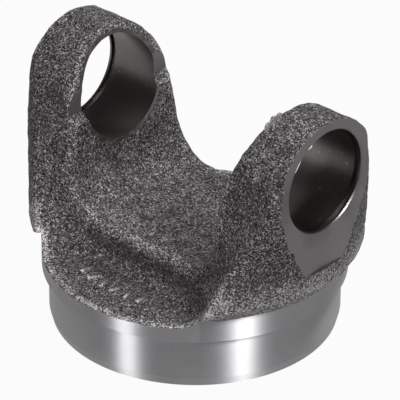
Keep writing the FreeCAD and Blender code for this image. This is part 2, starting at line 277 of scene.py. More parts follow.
@dataclass(frozen=True)
class SurfaceNet:
    """Turns a distance field into a closed mesh of even quads."""

    step: float
    low: Triple = (-55.0, -49.0, -4.0)
    high: Triple = (55.0, 49.0, 83.0)
    probe: float = 0.05
    rounds: int = 3
    least_slope: float = 0.2
    most_move: float = 0.4

    def mesh(self, distance: Callable[..., Array]) -> tuple[Array, Array]:
        """Sample the field and lay the net.

        Args:
            distance: The field, a function of x, y and z.

        Returns:
            The places of the vertices, and four vertex numbers for each face.
        """
        axes = [np.arange(a, b, self.step) for a, b in zip(self.low, self.high)]
        grid = np.meshgrid(*axes, indexing="ij")
        field = distance(*grid)
        inside = field < 0.0
        shape = np.array(field.shape) - 1
        total = np.zeros((*shape, 3))
        count = np.zeros(shape)
        corners = [(i, j, k) for i in (0, 1) for j in (0, 1) for k in (0, 1)]
        for axis in range(3):
            for corner in corners:
                if corner[axis]:
                    continue
                other = list(corner)
                other[axis] = 1
                first = self._corner(field, corner)
                last = self._corner(field, other)
                crossed = (first < 0.0) != (last < 0.0)
                with np.errstate(divide="ignore", invalid="ignore"):
                    along = np.where(crossed, first / (first - last), 0.0)
                count += crossed
                for part in range(3):
                    offset = along if part == axis else corner[part]
                    total[..., part] += np.where(crossed, offset, 0.0)
        used = count > 0
        number = np.full(shape, -1)
        number[used] = np.arange(used.sum())
        cells = np.argwhere(used)
        places = cells + total[used] / count[used][:, None]
        places = places * self.step + np.array(self.low)
        faces = self._faces(inside, number)
        return self._settle(places, distance), faces

    @staticmethod
    def _corner(field: Array, corner: Sequence[int]) -> Array:
        """The field at one corner of every cell."""
        ranges = [slice(c, n - 1 + c) for c, n in zip(corner, field.shape)]
        return field[tuple(ranges)]

    @staticmethod
    def _faces(inside: Array, number: Array) -> Array:
        """Join the four cells round each grid edge that the surface crosses.

        Args:
            inside: Whether each grid point lies in the metal.
            number: The vertex number of each cell.

        Returns:
            Four vertex numbers for each face.
        """
        quads = []
        for axis in range(3):
            near = [slice(1, n - 1) for n in inside.shape]
            far = list(near)
            near[axis] = slice(0, inside.shape[axis] - 1)
            far[axis] = slice(1, inside.shape[axis])
            first = inside[tuple(near)]
            last = inside[tuple(far)]
            crossed = np.argwhere(first != last)
            leaves = first[tuple(crossed.T)]
            base = crossed.copy()
            one, two = [a for a in range(3) if a != axis]
            base[:, one] += 1
            base[:, two] += 1
            ring = []
            for step_one, step_two in ((1, 1), (0, 1), (0, 0), (1, 0)):
                cell = base.copy()
                cell[:, one] -= step_one
                cell[:, two] -= step_two
                ring.append(number[tuple(cell.T)])
            ring = np.stack(ring, axis=1)
            turned = leaves if axis != 1 else ~leaves
            ring[~turned] = ring[~turned][:, ::-1]
            quads.append(ring)
        return np.concatenate(quads)

    def _settle(self, places: Array, distance: Callable[..., Array]) -> Array:
        """Move the vertices on to the surface along the field's slope.

        Args:
            places: The vertices as the net gives them.
            distance: The field.

        Returns:
            The places on the surface.
        """
        for _ in range(self.rounds):
            here = distance(*places.T)
            slope = np.empty_like(places)
            for axis in range(3):
                ahead = places.copy()
                ahead[:, axis] += self.probe
                behind = places.copy()
                behind[:, axis] -= self.probe
                slope[:, axis] = (distance(*ahead.T) - distance(*behind.T)) / (2.0 * self.probe)
            size = np.maximum((slope ** 2).sum(axis=1), self.least_slope)
            move = np.clip(here / size, -self.most_move, self.most_move)
            places = places - move[:, None] * slope
        return places


def add_object(name: str, data: bpy.types.ID) -> Piece:
    """Put a mesh, a lamp or a camera in the scene.

    Args:
        name: Name of the object.
        data: What the object holds.

    Returns:
        The object.
    """
    made = bpy.data.objects.new(name, data)
    bpy.context.scene.collection.objects.link(made)
    return made


def read_vectors(items: bpy.types.bpy_prop_collection, key: str) -> Array:
    """Read a vector of every vertex or face.

    Args:
        items: A mesh's vertices or faces.
        key: What is read.

    Returns:
        One row for each.
    """
    values = np.empty(len(items) * 3)
    items.foreach_get(key, values)
    return values.reshape(-1, 3)


def mesh_object(name: str, places: Array, faces: Sequence[Sequence[int]]) -> Piece:
    """Make a mesh object from places in millimetres.

    Args:
        name: Name of the object.
        places: Places of the vertices, in millimetres.
        faces: Vertex numbers of each face.

    Returns:
        The object, linked to the scene.
    """
    mesh = bpy.data.meshes.new(name)
    numbers = [[int(number) for number in face] for face in faces]
    mesh.from_pydata((np.asarray(places) * MILLIMETRE).tolist(), [], numbers)
    mesh.validate()
    mesh.update()
    return add_object(name, mesh)


def lathe(name: str, profile: Sequence[Pair], segments: int,
          along_x: Optional[float] = None,
          lift: Optional[Callable[[Array, float], Array]] = None) -> Piece:
    """Turn a closed profile round the yoke's axis, or round the cross bore's.

    Args:
        name: Name of the object.
        profile: Radius and place along the axis of each corner, in order. One that
            starts and ends on the axis makes a solid, and any other makes a ring.
        segments: Number of steps round the axis.
        along_x: Height of an axis along X, or None for the yoke's own axis.
        lift: Change of the place along the axis, from the angle and the place.

    Returns:
        A closed shape.
    """
    angles = np.arange(segments) * (2.0 * math.pi / segments)
    rows = []
    solid = profile[0][0] == 0.0
    profile = profile[1:-1] if solid else profile
    for radius, place in profile:
        height = np.full(segments, place) if lift is None else place + lift(angles, place)
        across, over = radius * np.cos(angles), radius * np.sin(angles)
        if along_x is None:
            rows.append(np.stack([across, over, height], axis=1))
        else:
            rows.append(np.stack([height, across, over + along_x], axis=1))
    count = len(profile)
    places = np.concatenate(rows)
    faces = []
    if solid:
        faces = [tuple(range(segments)), tuple(range((count - 1) * segments, count * segments))]
    for row in range(count - 1 if solid else count):
        after = (row + 1) % count
        for step in range(segments):
            turn = (step + 1) % segments
            faces.append((row * segments + step, row * segments + turn,
                          after * segments + turn, after * segments + step))
    made = mesh_object(name, places, faces)
    point_outwards(made)
    return made


def prism(name: str, outline: Sequence[Pair], half_length: float) -> Piece:
    """Draw an outline in X and Z and give it length along Y.

    Args:
        name: Name of the object.
        outline: Corners of the outline, in order.
        half_length: Reach along Y on each side.

    Returns:
        A closed solid.
    """
    count = len(outline)
    places = [(x, y, z) for y in (-half_length, half_length) for x, z in outline]
    faces = [tuple(range(count)), tuple(range(2 * count - 1, count - 1, -1))]
    faces += [(i, i + count, (i + 1) % count + count, (i + 1) % count) for i in range(count)]
    made = mesh_object(name, np.array(places), faces)
    point_outwards(made)
    return made


def keep_result(made: Piece) -> None:
    """Make what an object's modifiers give its own mesh, and take them off.

    Args:
        made: The object with live modifiers.
    """
    before = made.data
    graph = bpy.context.evaluated_depsgraph_get()
    after = bpy.data.meshes.new_from_object(made.evaluated_get(graph), depsgraph=graph)
    made.modifiers.clear()
    made.data = after
    bpy.data.meshes.remove(before)


def point_outwards(made: Piece) -> None:
    """Turn every face of a closed mesh outwards.

    Args:
        made: The object that holds the mesh.
    """
    shape = bmesh.new()
    shape.from_mesh(made.data)
    bmesh.ops.recalc_face_normals(shape, faces=shape.faces)
    if shape.calc_volume(signed=True) < 0.0:
        bmesh.ops.reverse_faces(shape, faces=shape.faces)
    shape.to_mesh(made.data)
    shape.free()


@dataclass(frozen=True)
class Machining:
    """The cutting passes that turn, face, mill and bore the forging, in millimetres."""

    pilot_radius: float = 42.34
    pilot_lead: float = 0.64
    pilot_lead_height: float = 2.7
    pilot_height: float = 15.95
    shoulder_radius: float = 44.29
    turned_top: float = 23.2
    face_half_span: float = 48.58
    face_foot: float = 33.65
    bore_radius: float = 15.09
    bore_height: float = 61.54
    bore_chamfer: float = 0.35
    ring_seat: float = 46.04
    ring_width: float = 1.55
    ring_depth: float = 0.95
    relief_half_span: float = 30.6
    relief_floor: float = 59.06
    relief_slope: float = 1.1504
    relief_run: float = 11.0
    # inset and rise of each point of the relief's rounded inner corner
    relief_corner: tuple[Pair, ...] = ((0.35, -0.38), (0.06, 0.1), (0.0, 0.5))
    edge_break: float = 0.12
    root_break: float = 0.15
    # how the turned band's upper edge runs out: waves a turn, height and start
    waves: tuple[Triple, ...] = ((3.0, 0.12, 0.4), (11.0, 0.08, 0.0), (23.0, 0.05, 0.0))
    high_angle: float = 226.0
    high_spread: float = 6.0
    high_rise: float = 2.6
    # reach of the tools past the metal
    far: float = 70.0
    above: float = 90.0
    across: float = 45.0
    below: float = 8.0
    bore_start: float = 18.0
    bore_run_out: float = 2.0
    turning_steps: int = 360
    bore_steps: int = 192

    def turning(self) -> Piece:
        """Turn the pilot, its lead, the shoulder and the band above it.

        Returns:
            A ring that holds everything outside the turned surfaces.
        """
        profile = [
            (self.far, -self.below),
            (self.pilot_radius - 1.5 * self.pilot_lead, -self.below),
            (self.pilot_radius - 1.05 * self.pilot_lead, 0.0),
            (self.pilot_radius - self.pilot_lead, self.edge_break),
            (self.pilot_radius - 0.5 * self.edge_break, self.pilot_lead_height - 0.3),
            (self.pilot_radius, self.pilot_lead_height),
            (self.pilot_radius, self.pilot_height - self.root_break),
            (self.pilot_radius + self.root_break, self.pilot_height),
            (self.shoulder_radius - self.edge_break, self.pilot_height),
            (self.shoulder_radius, self.pilot_height + self.edge_break),
            (self.shoulder_radius, self.turned_top),
            (self.far, self.turned_top + 0.6),
        ]
        return lathe("turning", profile, self.turning_steps, lift=self.wander)

    def wander(self, angle: Array, place: float) -> Array:
        """Let the band's upper edge wander, because the forging runs out of true.

        Args:
            angle: Angles round the yoke's axis.
            place: Height of the profile's corner.

        Returns:
            How far the corner rises at each angle.
        """
        if place < self.turned_top - 0.5:
            return np.zeros_like(angle)
        rise = sum(height * np.sin(turns * angle + start) for turns, height, start in self.waves)
        away = (angle - math.radians(self.high_angle)) / math.radians(self.high_spread)
        return rise + self.high_rise * np.exp(-away ** 2)

    def lug_cuts(self, side: int) -> list[Piece]:
        """Face the outer side of one lug, mill its inner side and bore it.

        Args:
            side: One for the lug on +X, or minus one.

        Returns:
            The three tools, in the order of the work.
        """
        face, out = side * self.face_half_span, side * self.far
        facing = [(face, self.face_foot), (out, self.face_foot), (out, self.above), (face, self.above)]
        inner = side * (self.relief_half_span - self.relief_run)
        relief = [(inner, self.relief_floor - self.relief_run * self.relief_slope)]
        for inset, rise in self.relief_corner:
            relief.append((side * (self.relief_half_span - inset), self.relief_floor + rise))
        relief += [(side * self.relief_half_span, self.above), (inner, self.above)]
        mills = [prism("facing", facing, self.across), prism("relief", relief, self.across)]
        return mills + [self.bore(side)]

    def bore(self, side: int) -> Piece:
        """Bore one lug, with its snap-ring groove and the chamfer at its mouth.

        Args:
            side: One for the lug on +X, or minus one.

        Returns:
            A solid tool that stands through the lug.
        """
        ring = self.ring_seat + self.ring_width
        edge = self.face_half_span
        end = edge + self.bore_run_out
        profile = [
            (0.0, self.bore_start),
            (self.bore_radius, self.bore_start),
            (self.bore_radius, self.ring_seat),
            (self.bore_radius + self.ring_depth, self.ring_seat),
            (self.bore_radius + self.ring_depth, ring),
            (self.bore_radius, ring),
            (self.bore_radius, edge - self.bore_chamfer),
            (self.bore_radius + self.bore_chamfer, edge),
            (self.bore_radius + self.bore_chamfer + self.bore_run_out, end),
            (0.0, end),
        ]
        places = [(radius, side * place) for radius, place in profile]
        return lathe("bore", places, self.bore_steps, along_x=self.bore_height)

    def passes(self) -> list[Piece]:
        """Make the tool of every cutting pass, in the order of the work.

        Returns:
            The tools, each a closed form.
        """
        low = -self.below - 1.0
        tube_end = [(-self.far, low), (self.far, low), (self.far, 0.0), (-self.far, 0.0)]
        cuts = [prism("tube_end", tube_end, self.far), self.turning()]
        for side in (1, -1):
            cuts += self.lug_cuts(side)
        return cuts

    def classify(self, centres: Array, normals: Array) -> Array:
        """Say how each face was made.

        Args:
            centres: Face centres, in millimetres.
            normals: Face normals.

        Returns:
            The material slot of each face.
        """
        x, y, z = centres.T
        out = np.abs(x)
        near = 0.01
        kind = np.full(len(centres), int(Surface.FORGED))
        radius = np.hypot(x, y)
        upright = np.abs(normals[:, 2]) < 0.02
        endways = np.abs(normals[:, 0]) > 0.99
        band_end = self.turned_top + self.high_rise + 0.8
        on_band = (np.abs(radius - self.shoulder_radius) < 3.0 * near) & (z < band_end) & upright
        on_pilot = (radius > self.pilot_radius - 1.2) & (z < self.pilot_height + 0.4)
        kind[on_band | on_pilot | (z < near)] = int(Surface.TURNED)
        # the bore comes first, because the centre of a lug's face lies inside it
        kind[np.hypot(y, z - self.bore_height) < self.bore_radius + 1.2] = int(Surface.BORED)
        on_face = (np.abs(out - self.face_half_span) < near) & endways
        on_ledge = (np.abs(z - self.face_foot) < near) & (out > self.face_half_span - 0.58)
        on_relief = (np.abs(out - self.relief_half_span) < 7.0 * near) & endways
        kind[on_face | on_ledge | on_relief] = int(Surface.FACED)
        return kind


class Socket:
    """A node socket that takes part in maths as a Python value."""

    def __init__(self, tree: "NodeTree", socket: bpy.types.NodeSocket) -> None:
        """Keep the socket and its tree."""
        self.tree = tree
        self.socket = socket

    def __add__(self, other: "Value") -> "Socket":
        """Add."""
        return self.tree.maths("ADD", self, other)

    def __radd__(self, other: "Value") -> "Socket":
        """Add to a number."""
        return self.tree.maths("ADD", other, self)

    def __sub__(self, other: "Value") -> "Socket":
        """Take away."""
        return self.tree.maths("SUBTRACT", self, other)

    def __rsub__(self, other: "Value") -> "Socket":
        """Take away from a number."""
        return self.tree.maths("SUBTRACT", other, self)

    def __mul__(self, other: "Value") -> "Socket":
        """Multiply."""
        return self.tree.maths("MULTIPLY", self, other)

    def __rmul__(self, other: "Value") -> "Socket":
        """Multiply a number."""
        return self.tree.maths("MULTIPLY", other, self)

    def __rtruediv__(self, other: "Value") -> "Socket":
        """Divide a number."""
        return self.tree.maths("DIVIDE", other, self)

    def clamp(self) -> "Socket":
        """Hold the value between nothing and one."""
        return self.tree.node("ShaderNodeClamp", {}, Value=self)["Result"]

    def ramp(self, low: float, high: float) -> "Socket":
        """Stretch the part between low and high to nothing and one, with soft ends."""
        values = {"Value": self, "From Min": low, "From Max": high}
        return self.tree.node("ShaderNodeMapRange", SOFT_ENDS, **values)["Result"]


Value = Socket | float


class NodeTree:
    """A node tree that is written as Python expressions."""

    def __init__(self, tree: bpy.types.NodeTree) -> None:
        """Take the tree that the nodes go into."""
        self.tree = tree

    def node(self, kind: str, settings: dict, **values: object) -> dict[str, Socket]:
        """Add a node.

        Args:
            kind: The node's type.
            settings: Properties that are set before the sockets.
            **values: Links or values of its inputs, by name.

        Returns:
            The node's outputs, by name.
        """
        made = self.tree.nodes.new(kind)
        for key, value in settings.items():
            setattr(made, key, value)
        for key, value in values.items():
            target = next(socket for socket in made.inputs if socket.name == key and socket.enabled)
            self._feed(target, value)
        return {output.name: Socket(self, output) for output in made.outputs if output.enabled}

    def _feed(self, target: bpy.types.NodeSocket, value: object) -> None:
        """Link a socket to an input, or set its value.

        Args:
            target: The input.
            value: A socket, or what the input is set to.
        """
        if isinstance(value, Socket):
            self.tree.links.new(value.socket, target)
        else:
            target.default_value = value

    def maths(self, operation: str, first: Value, second: Value = 0.0) -> Socket:
        """Work out two numbers with one Math node.

        Args:
            operation: What the node does.
            first: The first number.
            second: The second number, where there is one.

        Returns:
            The result.
        """
        made = self.tree.nodes.new("ShaderNodeMath")
        made.operation = operation
        self._feed(made.inputs[0], first)
        self._feed(made.inputs[1], second)
        return Socket(self, made.outputs[0])


class FormTree(NodeTree):
    """A Geometry Nodes tree that makes or changes a mesh, with named sizes."""

    def __init__(self, name: str, sizes: dict[str, float]) -> None:
        """Start the tree with a mesh and its sizes as named inputs.

        Args:
            name: Name of the tree.
            sizes: Names and values of the inputs, lengths in metres.
        """
        super().__init__(bpy.data.node_groups.new(name, "GeometryNodeTree"))
        self.sizes = sizes
        self.keys = {}
        sockets = self.tree.interface
        sockets.new_socket("Geometry", in_out="INPUT", socket_type="NodeSocketGeometry")
        for size, value in sizes.items():
            kind = "NodeSocketInt" if isinstance(value, int) else "NodeSocketFloat"
            self.keys[size] = sockets.new_socket(size, in_out="INPUT", socket_type=kind).identifier
        sockets.new_socket("Geometry", in_out="OUTPUT", socket_type="NodeSocketGeometry")
        self.given = self.node("NodeGroupInput", {})

    def vector(self, x: Value, y: Value, z: Value) -> Socket:
        """Join three numbers into a vector."""
        return self.node("ShaderNodeCombineXYZ", {}, X=x, Y=y, Z=z)["Vector"]

    def apply(self, target: Piece, geometry: Socket, material: bpy.types.Material) -> None:
        """Close the tree, run it on an object and keep the result as the object's mesh.

        Args:
            target: The object that the tree works on.
            geometry: What the tree makes.
            material: The finish of what it makes.
        """
        plain = self.node("GeometryNodeRealizeInstances", {}, Geometry=geometry)["Geometry"]
        dressed = self.node("GeometryNodeSetMaterial", {}, Geometry=plain, Material=material)["Geometry"]
        self.node("NodeGroupOutput", {}, Geometry=dressed)
        step = target.modifiers.new(self.tree.name, "NODES")
        step.node_group = self.tree
        for size, key in self.keys.items():
            step[key] = self.sizes[size]
        keep_result(target)


class ShaderTree(NodeTree):
    """The node tree of one material."""

    def __init__(self, name: str) -> None:
        """Start an empty material.

        Args:
            name: Name of the material.
        """
        self.material = bpy.data.materials.new(name)
        self.material.use_nodes = True
        super().__init__(self.material.node_tree)
        self.tree.nodes.clear()

    def blend(self, share: Value, first: Socket, second: Socket) -> Socket:
        """Mix two shaders.

        Args:
            share: Share of the second shader.
            first: The shader where the share is nothing.
            second: The shader where the share is one.

        Returns:
            The mixed shader.
        """
        made = self.tree.nodes.new("ShaderNodeMixShader")
        for target, value in zip(made.inputs, (share, first, second)):
            self._feed(target, value)
        return Socket(self, made.outputs[0])

    def mix(self, share: Value, first: Socket | Colour, second: Socket | Colour) -> Socket:
        """Mix two colours.

        Args:
            share: Share of the second colour.
            first: The colour where the share is nothing.
            second: The colour where the share is one.

        Returns:
            The mixed colour.
        """
        made = self.tree.nodes.new("ShaderNodeMix")
        made.data_type = "RGBA"
        self._feed(made.inputs["Factor"], share)
        self._feed(made.inputs["A"], first)
        self._feed(made.inputs["B"], second)
        colours = [output for output in made.outputs if output.type == "RGBA"]
        return Socket(self, colours[0])

    def place(self, scale: Triple) -> Socket:
        """Object coordinates, with a scale for each axis."""
        where = self.node("ShaderNodeTexCoord", {})["Object"]
        return self.node("ShaderNodeMapping", {}, Vector=where, Scale=scale)["Vector"]

    def noise(self, scale: Triple, detail: float, rough: float = 0.5) -> Socket:
        """Noise with so many features a metre along each axis."""
        values = {"Vector": self.place(scale), "Scale": 1.0, "Detail": detail, "Roughness": rough}
        return self.node("ShaderNodeTexNoise", {}, **values)["Fac"]

    def cells(self, scale: Triple) -> Socket:
        """A number for each of many small cells, anywhere between nothing and one."""
        colour = self.node("ShaderNodeTexVoronoi", {}, Vector=self.place(scale), Scale=1.0)["Color"]
        return self.node("ShaderNodeSeparateColor", {}, Color=colour)["Red"]

    def attribute(self, name: str) -> Socket:
        """A number that the mesh carries at each vertex."""
        return self.node("ShaderNodeAttribute", {"attribute_name": name})["Fac"]

    def bump(self, height: Socket, distance: float, strength: float) -> Socket:
        """A normal that follows a height."""
        values = {"Height": height, "Distance": distance, "Strength": strength}
        return self.node("ShaderNodeBump", {}, **values)["Normal"]

    def close(self, shader: Socket) -> bpy.types.Material:
        """Link the shader to the output and give back the material."""
        self.node("ShaderNodeOutputMaterial", {}, Surface=shader)
        return self.material


@dataclass(frozen=True)
class BlastedSkin:
    """Shot-blasted forging scale: dark hollows between pebbles with paler tops, partly from wear and
    partly painted highlight on crests, painted light on the ears' feet and painted shade in inner
    corners.
    """

    pit: Colour = (0.005, 0.0045, 0.005, 1.0)
    scale: Colour = (0.058, 0.053, 0.0555, 1.0)
    worn_and_painted_highlight: Colour = (0.33, 0.31, 0.32, 1.0)
    # painted shade: the colour that darkens the skin deep in inner corners
    painted_corner_shade: Colour = (0.012, 0.011, 0.012, 1.0)
    grain: float = 2900.0
    pebble: float = 1100.0
    patch: float = 120.0
    # square of the distance from the middle plane, and height, where the ears' feet are painted paler, as
    # if lit
    painted_light_foot_out: Pair = (0.0008, 0.0014)
    painted_light_foot_up: Pair = (0.038, 0.026)

    def build(self) -> bpy.types.Material:
        """Build the finish.

        Returns:
            The material.
        """
        tree = ShaderTree("blasted_skin")
        grain = tree.cells((self.grain,) * 3)
        pebbles = tree.noise((self.pebble,) * 3, 2.0, 0.6)
        patch = tree.noise((self.patch,) * 3, 3.0)
        corner = tree.attribute("corner")
        # crests and raised strokes on the shelf: paler partly from wear and partly as a painted highlight
        crest = tree.attribute("crest")
        axes = tree.node("ShaderNodeSeparateXYZ", {}, Vector=tree.place((1.0, 1.0, 1.0)))
        # painted light: the ears' feet are made paler, as if lit from the front
        foot = (axes["X"] * axes["X"]).ramp(*self.painted_light_foot_out) * axes["Z"].ramp(*self.painted_light_foot_up)
        # crests and feet made paler: partly wear, partly painted highlight and painted light
        wear_and_painted_light = crest * 0.5 + foot * 0.32
        bright = (grain * 0.8 + pebbles * 0.45 + (patch - 0.5) * 0.2 + wear_and_painted_light - 0.2).clamp()
        colour = tree.mix(bright.ramp(0.1, 0.7), self.pit, self.scale)
        tops = bright.ramp(0.58, 1.0)
        # pale tops of the pebbles: partly real wear, partly painted highlight on crests, raised strokes
        # and the ears' feet
        colour = tree.mix(tops * (0.8 + crest * 0.2), colour, self.worn_and_painted_highlight)
        # painted shade, darker the deeper a place lies in an inner corner
        colour = tree.mix((corner * 1.25).clamp() * 0.85, colour, self.painted_corner_shade)
        normal = tree.bump(pebbles, 0.0005, 1.0)
        values = {"Base Color": colour, "Roughness": 0.65 - tops * 0.2, "Metallic": tops * 0.4,
                  "Specular IOR Level": 0.12, "Normal": normal}
        return tree.close(tree.node("ShaderNodeBsdfPrincipled", {}, **values)["BSDF"])


@dataclass(frozen=True)
class MachinedSteel:
    """Bare cut steel, with tool lines along its surface."""

    name: str
    colour: Colour
    stain: Colour
    roughness: float
    anisotropy: float
    lines: Triple
    depth: float
    dust: Colour = (0.12, 0.12, 0.12, 1.0)
    cloud: float = 55.0
    speck: float = 620.0

    def build(self) -> bpy.types.Material:
        """Build the finish.

        Returns:
            The material.
        """
        tree = ShaderTree(self.name)
        lines = tree.noise(self.lines, 3.0, 0.65)
        cloud = tree.noise((self.cloud,) * 3, 3.0)
        specks = tree.noise((self.speck,) * 3, 1.0).ramp(0.70, 0.80)
        colour = tree.mix(cloud.ramp(0.42, 0.68) * 0.8, self.colour, self.stain)
        colour = tree.mix(specks * 0.35, colour, self.dust)
        normal = tree.bump(lines, self.depth, 0.6)
        values = {"Base Color": colour, "Metallic": 1.0, "Anisotropic": self.anisotropy,
                  "Anisotropic Rotation": 0.25, "Normal": normal,
                  "Roughness": self.roughness + (lines - 0.5) * 0.12 + cloud * 0.05}
        return tree.close(tree.node("ShaderNodeBsdfPrincipled", {}, **values)["BSDF"])


FINISHES = {
    Surface.FORGED: BlastedSkin(),
    Surface.TURNED: MachinedSteel(
        name="turned_steel", colour=(0.335, 0.333, 0.344, 1.0), stain=(0.30, 0.298, 0.307, 1.0),
        roughness=0.41, anisotropy=1.0, lines=(25.0, 25.0, 5200.0), depth=0.00001),
    Surface.FACED: MachinedSteel(
        name="faced_steel", colour=(0.13, 0.121, 0.126, 1.0), stain=(0.080, 0.074, 0.078, 1.0),
        roughness=0.44, anisotropy=0.0, lines=(300.0, 1500.0, 130.0), depth=0.00006),
    Surface.BORED: MachinedSteel(
        name="bored_steel", colour=(0.12, 0.112, 0.108, 1.0), stain=(0.075, 0.066, 0.06, 1.0),
        roughness=0.34, anisotropy=0.0, lines=(3600.0, 90.0, 90.0), depth=0.00003,
        dust=(0.45, 0.44, 0.43, 1.0)),
}


@dataclass(frozen=True)
class ForgingLumps:
    """Uneven swell of the forged skin, in millimetres."""

    lump: float = 5.5
    lump_height: float = 0.34
    ripple: float = 1.9
    ripple_height: float = 0.22
    seed: int = 7

    def reach(self) -> float:
        """The most that the skin moves out."""
        return 0.5 * (self.lump_height + self.ripple_height)

    def raise_on(self, forging: Piece, material: bpy.types.Material) -> None:
        """Move the skin in and out along its normal.

        Args:
            forging: The raw forging.
            material: The forged finish.
        """
        sizes = {"Lump": self.lump * MILLIMETRE, "Lump Height": self.lump_height * MILLIMETRE,
                 "Ripple": self.ripple * MILLIMETRE, "Ripple Height": self.ripple_height * MILLIMETRE,
                 "Seed": self.seed}
        tree = FormTree("forging_lumps", sizes)
        given = tree.given
        place = tree.node("GeometryNodeInputPosition", {})["Position"]
        normal = tree.node("GeometryNodeInputNormal", {})["Normal"]
        seeded = {"noise_dimensions": "4D"}

        def swell(size: Socket, height: Socket) -> Socket:
            """How far one grade of lumps moves the skin."""
            values = {"Vector": place, "W": given["Seed"] * 3.7, "Scale": 1.0 / size, "Detail": 1.0}
            return (tree.node("ShaderNodeTexNoise", seeded, **values)["Fac"] - 0.5) * height * 2.0

        out = swell(given["Lump"], given["Lump Height"]) + swell(given["Ripple"], given["Ripple Height"])
        scaled = {"operation": "SCALE"}
        offset = tree.node("ShaderNodeVectorMath", scaled, Vector=normal, Scale=out)["Vector"]
        skin = given["Geometry"]
        moved = tree.node("GeometryNodeSetPosition", {}, Geometry=skin, Offset=offset)["Geometry"]
        tree.apply(forging, moved, material)


@dataclass(frozen=True)
class ShelfStrokes:
    """A row of short raised strokes on the forged shelf, in millimetres and degrees."""

    count: int = 6
    row_radius: float = 34.4
    row_height: float = 21.3
    first_angle: float = 249.0
    pitch: float = 7.5
    length: float = 4.4
    thickness: float = 1.7
    lean: float = 22.0
    sides: int = 14
    seed: int = 4

    def build(self, material: bpy.types.Material) -> Piece:
        """Lay the strokes out round the yoke's axis.

        Args:
            material: The forged finish.

        Returns:
            The strokes as one mesh of closed bars.
        """
        sizes = {"Count": self.count, "Seed": self.seed,
                 "Row Radius": self.row_radius * MILLIMETRE, "Row Height": self.row_height * MILLIMETRE,
                 "Length": self.length * MILLIMETRE, "Thickness": self.thickness * MILLIMETRE,
                 "First Angle": math.radians(self.first_angle), "Pitch": math.radians(self.pitch),
                 "Lean": math.radians(self.lean)}
        tree = FormTree("shelf_strokes", sizes)
        given = tree.given
        index = tree.node("GeometryNodeInputIndex", {})["Index"]
        angle = given["First Angle"] + index * given["Pitch"]
        spot = tree.vector(tree.maths("COSINE", angle) * given["Row Radius"],
                           tree.maths("SINE", angle) * given["Row Radius"], given["Row Height"])
        spots = tree.node("GeometryNodePoints", {}, Count=given["Count"], Position=spot)["Points"]
        half = given["Length"] * 0.5
        spine = tree.node("GeometryNodeCurvePrimitiveLine", {}, Start=tree.vector(-1.0 * half, 0.0, 0.0),
                          End=tree.vector(half, 0.0, 0.0))["Curve"]
        around = tree.node("GeometryNodeCurvePrimitiveCircle", {}, Resolution=self.sides,
                           Radius=given["Thickness"] * 0.5)["Curve"]
        values = {"Curve": spine, "Profile Curve": around, "Fill Caps": True}
        bar = tree.node("GeometryNodeCurveToMesh", {}, **values)["Mesh"]
        spread = tree.node("FunctionNodeRandomValue", {"data_type": "FLOAT"}, Min=-1.0, Max=1.0,
                           Seed=given["Seed"])["Value"]
        turn = tree.vector(0.0, 0.0, angle + spread * given["Lean"])
        values = {"Points": spots, "Instance": bar, "Rotation": turn}
        row = tree.node("GeometryNodeInstanceOnPoints", {}, **values)["Instances"]
        strokes = mesh_object("strokes", np.zeros((0, 3)), [])
        tree.apply(strokes, row, material)
        return strokes


@dataclass(frozen=True)
class FlashFin:
    """A sliver of flash left on the rim of the near lug, in millimetres and degrees."""

    rim_radius: float = 20.1
    rim_height: float = 59.6
    place: float = 35.4
    thickness: float = 0.7
    first_angle: float = 101.0
    last_angle: float = 124.0
    sink: float = 2.2
    rise: float = 1.7
    tear: float = 0.25
    tears: float = 19.0
    steps: int = 14

    def build(self) -> Piece:
        """Draw the ragged fin along the rim, sunk deep enough to join it.

        Returns:
            The fin as a closed strip.
        """
        share = np.linspace(0.0, 1.0, self.steps)
        angle = np.radians(self.first_angle + share * (self.last_angle - self.first_angle))
        torn = 1.0 - self.tear + self.tear * np.sin(self.tears * share)
        outer = self.rim_radius + self.rise * (np.sin(math.pi * share) ** 0.5 * torn)
        inner = np.full(self.steps, self.rim_radius - self.sink)
        rings = []
        for radius in (inner, outer):
            for side in (-0.5, 0.5):
                x = np.full(self.steps, self.place + side * self.thickness)
                y, z = radius * np.cos(angle), self.rim_height + radius * np.sin(angle)
                rings.append(np.stack([x, y, z], axis=1))
        count = self.steps
        order = (0, 1, 3, 2)
        faces = [tuple(row * count + end for row in order) for end in (0, count - 1)]
        for near, far in zip(order, order[1:] + order[:1]):
            faces += [(near * count + i, near * count + i + 1, far * count + i + 1, far * count + i)
                      for i in range(count - 1)]
        fin = mesh_object("flash_fin", np.concatenate(rings), faces)
        point_outwards(fin)
        return fin


